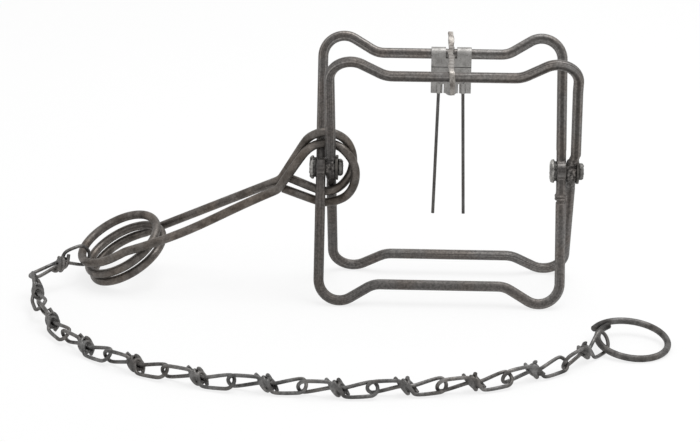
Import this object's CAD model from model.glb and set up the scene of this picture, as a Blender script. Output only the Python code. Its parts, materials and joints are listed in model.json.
import json
import math

import bpy
from mathutils import Matrix, Vector

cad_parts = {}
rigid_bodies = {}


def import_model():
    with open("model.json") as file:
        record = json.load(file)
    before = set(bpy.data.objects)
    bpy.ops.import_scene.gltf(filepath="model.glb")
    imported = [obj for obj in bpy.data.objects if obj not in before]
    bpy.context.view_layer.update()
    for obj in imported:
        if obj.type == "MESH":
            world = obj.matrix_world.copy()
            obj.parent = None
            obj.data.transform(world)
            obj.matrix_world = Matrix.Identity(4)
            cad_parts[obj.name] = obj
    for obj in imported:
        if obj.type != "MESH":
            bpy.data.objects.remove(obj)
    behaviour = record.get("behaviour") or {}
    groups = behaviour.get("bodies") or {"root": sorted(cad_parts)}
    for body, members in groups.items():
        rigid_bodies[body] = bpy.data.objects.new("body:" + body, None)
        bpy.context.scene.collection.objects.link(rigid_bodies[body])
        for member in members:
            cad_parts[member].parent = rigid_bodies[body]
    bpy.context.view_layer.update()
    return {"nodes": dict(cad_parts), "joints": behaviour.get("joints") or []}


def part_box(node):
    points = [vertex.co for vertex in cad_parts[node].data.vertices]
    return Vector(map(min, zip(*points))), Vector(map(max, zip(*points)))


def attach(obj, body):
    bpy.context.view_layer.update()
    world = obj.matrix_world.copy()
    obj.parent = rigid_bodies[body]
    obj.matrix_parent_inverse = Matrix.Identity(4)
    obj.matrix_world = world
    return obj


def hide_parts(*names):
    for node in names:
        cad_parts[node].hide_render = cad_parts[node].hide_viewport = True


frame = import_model()


# Jaws: two lengths of round steel rod, each bent to a square with an ear at every corner, butt
# welded end to end, and upset and drilled where the rivets pass. The rod is bare, dark with oil
# and mill scale, and streaked along its length by the drawing die.
def take_up(thing):
    bpy.ops.object.select_all(action="DESELECT")
    thing.select_set(True)
    bpy.context.view_layer.objects.active = thing


def merged_copy(node, name):
    take_up(frame["nodes"][node])
    bpy.ops.object.duplicate()
    piece = bpy.context.active_object
    piece.name = name
    piece.data.name = name
    for key in list(piece.keys()):
        del piece[key]
    bpy.ops.mesh.customdata_custom_splitnormals_clear()
    bpy.ops.object.mode_set(mode="EDIT")
    bpy.ops.mesh.select_all(action="SELECT")
    bpy.ops.mesh.remove_doubles(threshold=0.000002)
    bpy.ops.object.mode_set(mode="OBJECT")
    piece.data.materials.clear()
    return piece


def skin_over(piece, voxel):
    skin = piece.modifiers.new("skin", "REMESH")
    skin.mode = "VOXEL"
    skin.voxel_size = voxel
    bpy.ops.object.modifier_apply(modifier="skin")


def skinned(node, name, voxel):
    piece = merged_copy(node, name)
    skin_over(piece, voxel)
    return piece


def pick(piece, inside):
    bpy.ops.object.mode_set(mode="EDIT")
    bpy.ops.mesh.select_mode(type="VERT")
    bpy.ops.mesh.select_all(action="DESELECT")
    bpy.ops.object.mode_set(mode="OBJECT")
    for vertex in piece.data.vertices:
        vertex.select = inside(vertex.co)
    bpy.ops.object.mode_set(mode="EDIT")


def lump(piece, centre, reach, size, height):
    weights = piece.vertex_groups.new(name="lump")
    for vertex in piece.data.vertices:
        away = math.hypot(vertex.co.y - centre[1], vertex.co.z - centre[2])
        weight = max(0, 1 - away / reach) * (1 - abs(vertex.normal.x))
        weights.add([vertex.index], weight, "REPLACE")
    clouds = bpy.data.textures.new("hammer_scale", "CLOUDS")
    clouds.noise_scale = size
    swell = piece.modifiers.new("swell", "DISPLACE")
    swell.texture = clouds
    swell.texture_coords = "LOCAL"
    swell.vertex_group = "lump"
    swell.strength = height
    swell.mid_level = 0.2
    bpy.ops.object.modifier_apply(modifier="swell")
    piece.vertex_groups.remove(piece.vertex_groups["lump"])


def crooked_side(piece, base, offset):
    jog_start = 0.0045
    jog_rise = 0.005
    jog_end = 0.046
    jog_fade = 0.036
    bent = piece.vertex_groups.new(name="bent")
    for vertex in piece.data.vertices:
        above = vertex.co.z - base
        weight = min((above - jog_start) / jog_rise, (jog_end - above) / jog_fade, 1)
        if vertex.co.x > 0 and weight > 0:
            bent.add([vertex.index], weight, "REPLACE")
    push = piece.modifiers.new("push", "DISPLACE")
    push.direction = "X"
    push.mid_level = 0
    push.strength = offset
    push.vertex_group = "bent"
    bpy.ops.object.modifier_apply(modifier="push")
    piece.vertex_groups.remove(piece.vertex_groups["bent"])


def mark_across(piece, jaw_normal):
    across = piece.data.attributes.new("across", "FLOAT", "POINT")
    across.data.foreach_set("value", [v.normal.dot(jaw_normal) for v in piece.data.vertices])


def steel(name, metallic):
    material = bpy.data.materials.new(name)
    material.use_nodes = True
    shader = material.node_tree.nodes["Principled BSDF"]
    shader.inputs["Metallic"].default_value = metallic
    return material, material.node_tree.nodes, shader


def noise(nodes, scale, detail, roughness=0.5):
    grain = nodes.new("ShaderNodeTexNoise")
    grain.inputs["Scale"].default_value = scale
    grain.inputs["Detail"].default_value = detail
    grain.inputs["Roughness"].default_value = roughness
    return grain


def stretch(nodes, low, high, to_low, to_high):
    spread = nodes.new("ShaderNodeMapRange")
    spread.inputs["From Min"].default_value = low
    spread.inputs["From Max"].default_value = high
    spread.inputs["To Min"].default_value = to_low
    spread.inputs["To Max"].default_value = to_high
    return spread


def tone_ramp(nodes, dark_at, dark, light_at, light):
    tone = nodes.new("ShaderNodeValToRGB")
    stops = tone.color_ramp.elements
    stops[0].position = dark_at
    stops[0].color = dark
    stops[1].position = light_at
    stops[1].color = light
    return tone


def stain(nodes, tint):
    wash = nodes.new("ShaderNodeMix")
    wash.data_type = "RGBA"
    wash.blend_type = "MULTIPLY"
    wash.inputs["B"].default_value = tint
    return wash


def marked(nodes, name):
    mark = nodes.new("ShaderNodeAttribute")
    mark.attribute_name = name
    return mark


def working(nodes, kind, operation):
    step = nodes.new(kind)
    step.operation = operation
    return step


def rough_relief(nodes, strength, depth):
    relief = nodes.new("ShaderNodeBump")
    relief.inputs["Strength"].default_value = strength
    relief.inputs["Distance"].default_value = depth
    return relief


def link_up(material, pairs):
    for a, a_socket, b, b_socket in pairs:
        material.node_tree.links.new(a.outputs[a_socket], b.inputs[b_socket])


def drawn_rod(name, pivot, grime_tone, eye_grit):
    material, nodes, shader = steel(name, 0.75)
    eye_edge = 0.005
    grit_end = 0.011
    grime_end = 0.014
    place = nodes.new("ShaderNodeTexCoord")
    across = marked(nodes, "across")
    die_lines = working(nodes, "ShaderNodeMath", "MULTIPLY_ADD")
    die_lines.inputs[1].default_value = 5.5
    die_lines.inputs[2].default_value = 1.5
    along = working(nodes, "ShaderNodeVectorMath", "SCALE")
    along.inputs["Scale"].default_value = 4
    streak = noise(nodes, 1, 2.5, 0.55)
    streak.noise_dimensions = "4D"
    speck = noise(nodes, 850, 3, 0.6)
    patch = noise(nodes, 75, 3)
    tone = tone_ramp(nodes, 0.36, (0.055, 0.051, 0.048, 1), 0.64, (0.235, 0.226, 0.218, 1))
    tone.color_ramp.elements.new(0.5).color = (0.118, 0.112, 0.108, 1)
    brown = stain(nodes, (0.95, 0.84, 0.76, 1))
    brown_amount = stretch(nodes, 0.4, 0.66, 0, 0.6)
    speck_gain = stretch(nodes, 0.35, 0.65, 0.7, 1.32)
    from_pivot = nodes.new("ShaderNodeMapping")
    from_pivot.inputs["Location"].default_value = (0, -pivot[1], -pivot[2])
    from_pivot.inputs["Scale"].default_value = (0, 1, 1)
    pivot_reach = working(nodes, "ShaderNodeVectorMath", "LENGTH")
    grime = stretch(nodes, eye_edge, grime_end, grime_tone, 1)
    grit = stretch(nodes, eye_edge, grit_end, eye_grit, 1)
    coarse_speck = working(nodes, "ShaderNodeMath", "POWER")
    gain = working(nodes, "ShaderNodeMath", "MULTIPLY")
    colour = working(nodes, "ShaderNodeVectorMath", "SCALE")
    gloss = stretch(nodes, 0.3, 0.7, 0.6, 0.42)
    skin = working(nodes, "ShaderNodeMath", "ADD")
    relief = rough_relief(nodes, 0.3, 0.0002)
    link_up(material, [
        (across, "Fac", die_lines, 0),
        (place, "Object", along, "Vector"),
        (along, "Vector", streak, "Vector"),
        (die_lines, "Value", streak, "W"),
        (place, "Object", speck, "Vector"),
        (place, "Object", patch, "Vector"),
        (place, "Object", from_pivot, "Vector"),
        (from_pivot, "Vector", pivot_reach, "Vector"),
        (pivot_reach, "Value", grime, "Value"),
        (streak, "Fac", tone, "Fac"),
        (patch, "Fac", brown_amount, "Value"),
        (brown_amount, "Result", brown, "Factor"),
        (tone, "Color", brown, "A"),
        (speck, "Fac", speck_gain, "Value"),
        (pivot_reach, "Value", grit, "Value"),
        (speck_gain, "Result", coarse_speck, 0),
        (grit, "Result", coarse_speck, 1),
        (coarse_speck, "Value", gain, 0),
        (grime, "Result", gain, 1),
        (brown, "Result", colour, "Vector"),
        (gain, "Value", colour, "Scale"),
        (colour, "Vector", shader, "Base Color"),
        (streak, "Fac", gloss, "Value"),
        (gloss, "Result", shader, "Roughness"),
        (streak, "Fac", skin, 0),
        (speck, "Fac", skin, 1),
        (skin, "Value", relief, "Height"),
        (relief, "Normal", shader, "Normal"),
    ])
    return material


def in_place_of(piece, node, body, material):
    piece.data.materials.append(material)
    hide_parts(node)
    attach(piece, body)


pivot_low, pivot_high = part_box("left_rivet")
pivot = [(low + high) / 2 for low, high in zip(pivot_low, pivot_high)]
jaw_tilt = math.radians(23)
jaw_voxel = 0.00034
rod_swell = 0.00017
front_piece = skinned("front_jaw", "front_jaw_rod", jaw_voxel)
lump(front_piece, pivot, reach=0.011, size=0.0016, height=0.005)
crooked_side(front_piece, pivot[2], offset=0.0015)
rear_piece = skinned("rear_jaw", "rear_jaw_rod", jaw_voxel)
weld_bands = (
    (0.0108, 0.0117, 0.0006),
    (0.0117, 0.0123, -0.0003),
    (0.0123, 0.0131, 0.0006),
    (0.0131, 0.0142, -0.0006),
)
for band_top, band_low, rise in weld_bands:
    pick(rear_piece, lambda spot: spot.x > 0 and band_top < pivot[2] - spot.z < band_low)
    bpy.ops.transform.shrink_fatten(value=rise)
bpy.ops.object.mode_set(mode="OBJECT")
for piece, jaw, lean, grime_tone, eye_grit in (
    (front_piece, "front_jaw", jaw_tilt, 0.55, 3),
    (rear_piece, "rear_jaw", -jaw_tilt, 0.9, 1),
):
    take_up(piece)
    bpy.ops.object.mode_set(mode="EDIT")
    bpy.ops.mesh.select_all(action="SELECT")
    bpy.ops.mesh.vertices_smooth(factor=0.5, repeat=2)
    bpy.ops.transform.shrink_fatten(value=rod_swell)
    bpy.ops.object.mode_set(mode="OBJECT")
    bpy.ops.object.shade_smooth()
    mark_across(piece, Vector((0, math.cos(lean), math.sin(lean))))
    rod_steel = drawn_rod(jaw + "_steel", pivot, grime_tone, eye_grit)
    in_place_of(piece, jaw, jaw, rod_steel)


# Rivets: at each side a thick steel rivet is passed through the eyes of both jaws and peened over
# by hand. Its ends are hammered out of round, the plating is dull, and dirt sits under the head.
def plated(name, light, dark, grain_scale):
    material, nodes, shader = steel(name, 0.85)
    place = nodes.new("ShaderNodeTexCoord")
    cloud = noise(nodes, 260, 6, 0.6)
    grain = noise(nodes, grain_scale, 3)
    tone = tone_ramp(nodes, 0.36, dark, 0.62, light)
    dirt = stain(nodes, (0.45, 0.43, 0.41, 1))
    dirt_amount = stretch(nodes, 0.55, 0.72, 0, 0.75)
    grime = marked(nodes, "grime")
    clean = stretch(nodes, 0, 1, 1, 0.12)
    colour = working(nodes, "ShaderNodeVectorMath", "SCALE")
    gloss = stretch(nodes, 0.3, 0.7, 0.58, 0.36)
    relief = rough_relief(nodes, 0.3, 0.0002)
    link_up(material, [
        (place, "Object", cloud, "Vector"),
        (place, "Object", grain, "Vector"),
        (cloud, "Fac", tone, "Fac"),
        (grain, "Fac", dirt_amount, "Value"),
        (dirt_amount, "Result", dirt, "Factor"),
        (tone, "Color", dirt, "A"),
        (dirt, "Result", colour, "Vector"),
        (grime, "Fac", clean, "Value"),
        (clean, "Result", colour, "Scale"),
        (colour, "Vector", shader, "Base Color"),
        (cloud, "Fac", gloss, "Value"),
        (gloss, "Result", shader, "Roughness"),
        (grain, "Fac", relief, "Height"),
        (relief, "Normal", shader, "Normal"),
    ])
    return material


def softened(node, name, voxel, seed, dents):
    piece = skinned(node, name, voxel)
    bpy.ops.object.mode_set(mode="EDIT")
    bpy.ops.mesh.select_all(action="SELECT")
    bpy.ops.transform.vertex_random(offset=dents, uniform=0.4, normal=0.6, seed=seed)
    bpy.ops.mesh.vertices_smooth(factor=0.5, repeat=3)
    bpy.ops.object.mode_set(mode="OBJECT")
    bpy.ops.object.shade_smooth()
    return piece


def mark_grime(piece, amount):
    grime = piece.data.attributes.new("grime", "FLOAT", "POINT")
    grime.data.foreach_set("value", [amount(vertex.co) for vertex in piece.data.vertices])


rivet_plate = plated("hammered_rivet", (0.42, 0.41, 0.39, 1), (0.1, 0.095, 0.09, 1), 900)
neck_depth = 0.0033
neck_length = 0.0014
neck_waist = 0.85
neck_grime = 0.85
peened_depth = 0.0026
peened_grime = 0.65
for seed, side in enumerate(("left", "right"), start=2):
    rivet = side + "_rivet"
    piece = softened(rivet, rivet + "_hammered", voxel=0.00035, seed=seed, dents=0.00035)
    rivet_low, rivet_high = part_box(rivet)
    neck_end = rivet_low[0] + neck_depth
    neck_start = neck_end - neck_length
    pick(piece, lambda spot: neck_start < spot.x < neck_end)
    bpy.ops.transform.resize(
        value=(1, neck_waist, neck_waist),
        center_override=(neck_end, pivot[1], pivot[2]),
    )
    bpy.ops.object.mode_set(mode="OBJECT")
    peened = rivet_high[0] - peened_depth
    mark_grime(
        piece,
        lambda spot: neck_grime if neck_start < spot.x < neck_end
        else peened_grime if spot.x > peened
        else 0,
    )
    in_place_of(piece, rivet, "pivots", rivet_plate)


# Washers and spacers: plain dark steel rings threaded on the rivets, a punched washer under each
# peened end and a spacer between the two jaws' eyes. The rivet alone clamps them.
def coated(node, material):
    frame["nodes"][node].data.materials.clear()
    frame["nodes"][node].data.materials.append(material)


washer_steel = plated("washer_steel", (0.13, 0.122, 0.112, 1), (0.04, 0.037, 0.034, 1), 1100)
for side in ("left", "right"):
    coated(side + "_washer", washer_steel)
    coated(side + "_spacer", washer_steel)


# Spring: one length of tempered round wire wound into an open coil of two and a half turns. Its
# two arms run out side by side and end in eyes that ride on the jaws. It is sprung over the jaws
# by hand, with no fastening, and has a brown oil-tempered skin.
def round_wire(node, name, grow):
    piece = merged_copy(node, name)
    bpy.ops.object.mode_set(mode="EDIT")
    bpy.ops.mesh.select_mode(type="FACE")
    bpy.ops.mesh.select_all(action="SELECT")
    bpy.ops.mesh.tris_convert_to_quads(
        face_threshold=math.radians(25),
        shape_threshold=math.radians(80),
    )
    bpy.ops.transform.shrink_fatten(value=grow)
    bpy.ops.mesh.select_mode(type="EDGE")
    bpy.ops.mesh.select_all(action="DESELECT")
    bpy.ops.mesh.edges_select_sharp(sharpness=math.radians(78))
    bpy.ops.transform.edge_crease(value=1)
    bpy.ops.mesh.select_mode(type="VERT")
    bpy.ops.object.mode_set(mode="OBJECT")
    rounding = piece.modifiers.new("rounding", "SUBSURF")
    rounding.levels = 2
    rounding.render_levels = 2
    bpy.ops.object.modifier_apply(modifier="rounding")
    bpy.ops.object.shade_smooth_by_angle(angle=math.radians(50))
    return piece


def wire_steel(name, dark, middle, light, tint):
    material, nodes, shader = steel(name, 0.75)
    place = nodes.new("ShaderNodeTexCoord")
    skin = noise(nodes, 190, 5, 0.6)
    speck = noise(nodes, 1100, 3, 0.6)
    bloom = noise(nodes, 80, 3)
    tone = tone_ramp(nodes, 0.32, dark, 0.7, light)
    tone.color_ramp.elements.new(0.5).color = middle
    brown = stain(nodes, tint)
    brown_amount = stretch(nodes, 0.42, 0.66, 0, 0.9)
    speck_gain = stretch(nodes, 0.35, 0.65, 0.8, 1.2)
    grime = marked(nodes, "grime")
    clean = stretch(nodes, 0, 1, 1, 0.12)
    gain = working(nodes, "ShaderNodeMath", "MULTIPLY")
    colour = working(nodes, "ShaderNodeVectorMath", "SCALE")
    gloss = stretch(nodes, 0.3, 0.7, 0.55, 0.38)
    relief = rough_relief(nodes, 0.25, 0.00015)
    link_up(material, [
        (place, "Object", skin, "Vector"),
        (place, "Object", speck, "Vector"),
        (place, "Object", bloom, "Vector"),
        (skin, "Fac", tone, "Fac"),
        (bloom, "Fac", brown_amount, "Value"),
        (brown_amount, "Result", brown, "Factor"),
        (tone, "Color", brown, "A"),
        (speck, "Fac", speck_gain, "Value"),
        (grime, "Fac", clean, "Value"),
        (speck_gain, "Result", gain, 0),
        (clean, "Result", gain, 1),
        (brown, "Result", colour, "Vector"),
        (gain, "Value", colour, "Scale"),
        (colour, "Vector", shader, "Base Color"),
        (skin, "Fac", gloss, "Value"),
        (gloss, "Result", shader, "Roughness"),
        (speck, "Fac", relief, "Height"),
        (relief, "Normal", shader, "Normal"),
    ])
    return material


spring_skin = wire_steel(
    "tempered_spring",
    dark=(0.066, 0.058, 0.051, 1),
    middle=(0.111, 0.1, 0.091, 1),
    light=(0.168, 0.153, 0.141, 1),
    tint=(0.98, 0.9, 0.82, 1),
)
for part, body in (
    ("spring_coil", "spring"),
    ("spring_front_arm", "front_arm"),
    ("spring_rear_arm", "rear_arm"),
):
    piece = round_wire(part, part + "_wire", grow=0.00022)
    in_place_of(piece, part, body, spring_skin)


# Dog: a small cast hook that hangs on the rear jaw and drops over the front one to hold the trap
# set. It is zinc coloured, with soft cast edges and a tail that stands above its eye.
cast_zinc = plated("cast_zinc", (0.37, 0.35, 0.325, 1), (0.14, 0.124, 0.112, 1), 800)
piece = softened("dog", "dog_casting", voxel=0.0003, seed=5, dents=0.00015)
mould = bpy.data.textures.new("rough_mould", "CLOUDS")
mould.noise_scale = 0.012
sway = piece.modifiers.new("sway", "DISPLACE")
sway.texture = mould
sway.texture_coords = "LOCAL"
sway.direction = "X"
sway.strength = 0.003
bpy.ops.object.modifier_apply(modifier="sway")
in_place_of(piece, "dog", "dog", cast_zinc)


# Trigger plate: zinc-plated sheet steel, cut, folded and curled round the rear jaw, with a tongue
# for the dog and two tubes crimped from the same sheet. Dirt lies in the crease across its front.
sheet_zinc = plated("zinc_sheet", (0.35, 0.342, 0.33, 1), (0.25, 0.243, 0.234, 1), 1200)
piece = skinned("trigger_plate", "trigger_plate_folded", voxel=0.00017)
eased = piece.modifiers.new("eased", "SMOOTH")
eased.factor = 0.5
eased.iterations = 2
bpy.ops.object.modifier_apply(modifier="eased")
bpy.ops.object.shade_smooth()
plate_low, plate_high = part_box("trigger_plate")
crease_z = plate_high[2] - 0.00943
crease_half = 0.00025
front_face = plate_low[1] + 0.00095
lip = 0.00008
crease_depth = 0.0004
mark_grime(
    piece,
    lambda spot: abs(spot.z - crease_z) < crease_half and lip < spot.y - front_face < crease_depth,
)
in_place_of(piece, "trigger_plate", "trigger", sheet_zinc)


# Trigger wires: two straight lengths of dark drawn wire, cut square and pinched at the top in the
# plate's tubes. They hang free into the opening.
trigger_skin = wire_steel(
    "trigger_wire",
    dark=(0.075, 0.072, 0.07, 1),
    middle=(0.1, 0.097, 0.094, 1),
    light=(0.13, 0.127, 0.123, 1),
    tint=(0.95, 0.9, 0.86, 1),
)
for side in ("left", "right"):
    coated("trigger_wire_" + side, trigger_skin)


# Chain: twelve links of thin bright wire, each bent to a loop at both ends with the ends wrapped
# round the middle as a knot. Every link passes through the loop of the next; nothing is welded.
chain_skin = wire_steel(
    "chain_wire",
    dark=(0.062, 0.061, 0.06, 1),
    middle=(0.118, 0.116, 0.114, 1),
    light=(0.21, 0.207, 0.203, 1),
    tint=(0.93, 0.87, 0.82, 1),
)
link_count = 12
wire_radius = 0.00098
knot_radius = 0.0032
knot_flatness = 0.72
knot_lean = math.radians(30)
winding_pitch = 0.0022
winding_turns = 2
winding_steps = 18
bpy.ops.object.select_all(action="DESELECT")
bpy.ops.mesh.primitive_circle_add(
    vertices=10,
    radius=wire_radius,
    location=(knot_radius, 0, 0),
    rotation=(math.radians(90), 0, 0),
)
knot = bpy.context.active_object
bpy.ops.object.transform_apply(location=True, rotation=True, scale=True)
winding = knot.modifiers.new("winding", "SCREW")
winding.screw_offset = winding_pitch
winding.iterations = winding_turns
winding.steps = winding_steps
winding.render_steps = winding_steps
bpy.ops.object.modifier_apply(modifier="winding")
bpy.ops.object.mode_set(mode="EDIT")
bpy.ops.mesh.select_all(action="SELECT")
bpy.ops.mesh.fill_holes(sides=0)
bpy.ops.mesh.normals_make_consistent(inside=False)
bpy.ops.transform.translate(value=(0, 0, -winding_pitch * winding_turns / 2))
bpy.ops.transform.resize(value=(1, knot_flatness, 1))
bpy.ops.object.mode_set(mode="OBJECT")
hinge = {joint["name"]: Vector(joint["pos_m"]) for joint in frame["joints"]}
for number in range(1, link_count + 1):
    part = "chain_link_%02d" % number
    piece = round_wire(part, part + "_wire", grow=0.00014)
    waist = sum((vertex.co for vertex in piece.data.vertices), Vector()) / len(piece.data.vertices)
    link_end = "chain_joint_%02d" % (number + 1) if number < link_count else "ring_joint"
    run = (hinge[link_end] - hinge["chain_joint_%02d" % number]).normalized()
    sideways = run.cross(Vector((0, 0, 1))).normalized()
    lift = sideways.cross(run)
    wound = run * math.cos(knot_lean) + lift * math.sin(knot_lean)
    bar = lift * math.cos(knot_lean) - run * math.sin(knot_lean)
    take_up(knot)
    bpy.ops.object.duplicate()
    turns = bpy.context.active_object
    turns.matrix_world = Matrix((bar, wound.cross(bar), wound)).transposed().to_4x4()
    turns.location = waist
    bpy.ops.object.transform_apply(location=True, rotation=True, scale=True)
    piece.select_set(True)
    bpy.context.view_layer.objects.active = piece
    bpy.ops.object.join()
    skin_over(piece, voxel=0.0002)
    # Only the outer shell is kept, without the closed pockets between the turns
    outermost = min(vertex.co.x for vertex in piece.data.vertices)
    pick(piece, lambda spot: spot.x <= outermost)
    bpy.ops.mesh.select_linked()
    bpy.ops.mesh.select_all(action="INVERT")
    bpy.ops.mesh.delete(type="VERT")
    bpy.ops.mesh.select_all(action="SELECT")
    bpy.ops.mesh.dissolve_degenerate(threshold=0.00001)
    bpy.ops.object.mode_set(mode="OBJECT")
    bpy.ops.object.shade_smooth()
    in_place_of(piece, part, part, chain_skin)
take_up(knot)
bpy.ops.object.delete()


# Ring: a length of round wire bent to an open ring with its ends lapped, hooked into the chain's
# last link; it is slipped over a stake or nail.
ring_skin = wire_steel(
    "ring_wire",
    dark=(0.05, 0.048, 0.046, 1),
    middle=(0.088, 0.085, 0.082, 1),
    light=(0.155, 0.151, 0.147, 1),
    tint=(0.93, 0.87, 0.82, 1),
)
piece = round_wire("chain_ring", "chain_ring_wire", grow=0.00026)
ring_low, ring_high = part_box("chain_ring")
lap = (Vector(ring_low) + Vector(ring_high)) / 2 + Vector((-0.0135, 0.0108, 0.0025))
lap_reach = 0.008
lap_grime = 0.7
mark_grime(
    piece,
    lambda spot: min(lap_grime, max(0, 2 * lap_grime * (1 - (spot - lap).length / lap_reach))),
)
in_place_of(piece, "chain_ring", "chain_ring", ring_skin)


# Floor, light and camera: a plain white sweep under soft overhead light, seen from the front and
# a little above with a long lens. The paper shows white and keeps a faint shadow.
def seen_white(tree):
    path = tree.nodes.new("ShaderNodeLightPath")
    mirrored = working(tree.nodes, "ShaderNodeMath", "MAXIMUM")
    seen = working(tree.nodes, "ShaderNodeMath", "MAXIMUM")
    tree.links.new(path.outputs["Is Glossy Ray"], mirrored.inputs[0])
    tree.links.new(path.outputs["Is Transmission Ray"], mirrored.inputs[1])
    tree.links.new(path.outputs["Is Camera Ray"], seen.inputs[0])
    tree.links.new(mirrored.outputs["Value"], seen.inputs[1])
    return seen.outputs["Value"]


bpy.ops.mesh.primitive_plane_add(size=8, location=(0, 0, 0))
floor = bpy.context.active_object
floor.name = "floor"
paper = bpy.data.materials.new("white_paper")
paper.use_nodes = True
paper_nodes = paper.node_tree.nodes
paper_links = paper.node_tree.links
paper_skin = paper_nodes["Principled BSDF"]
paper_skin.inputs["Base Color"].default_value = (0.93, 0.93, 0.93, 1)
paper_skin.inputs["Roughness"].default_value = 0.9
paper_glow = paper_nodes.new("ShaderNodeEmission")
glow_share = working(paper_nodes, "ShaderNodeMath", "MULTIPLY")
glow_share.inputs[1].default_value = 0.78
paper_mix = paper_nodes.new("ShaderNodeMixShader")
paper_links.new(seen_white(paper.node_tree), glow_share.inputs[0])
paper_links.new(glow_share.outputs["Value"], paper_mix.inputs["Fac"])
paper_links.new(paper_skin.outputs["BSDF"], paper_mix.inputs[1])
paper_links.new(paper_glow.outputs["Emission"], paper_mix.inputs[2])
paper_links.new(paper_mix.outputs["Shader"], paper_nodes["Material Output"].inputs["Surface"])
floor.data.materials.append(paper)

scene = bpy.context.scene
world = bpy.data.worlds.new("studio")
scene.world = world
world.use_nodes = True
sky = world.node_tree.nodes["Background"]
sky.inputs["Color"].default_value = (1, 1, 1, 1)
sky_strength = stretch(world.node_tree.nodes, 0, 1, 0.7, 1)
world.node_tree.links.new(seen_white(world.node_tree), sky_strength.inputs["Value"])
world.node_tree.links.new(sky_strength.outputs["Result"], sky.inputs["Strength"])

bpy.ops.object.light_add(
    type="AREA",
    location=(0.3, 0.1, 1.3),
    rotation=(math.radians(-4), math.radians(12), 0),
)
softbox = bpy.context.active_object
softbox.name = "overhead_softbox"
softbox.data.size = 0.9
softbox.data.energy = 9

bpy.ops.object.camera_add(
    location=(-0.01277, -0.94985, 0.36257),
    rotation=(math.radians(70.987), math.radians(-0.341), math.radians(2.206)),
)
camera = bpy.context.active_object
camera.data.lens = 103.15
camera.data.sensor_width = 36
scene.camera = camera
scene.view_settings.view_transform = "Standard"

bpy.context.view_layer.update()
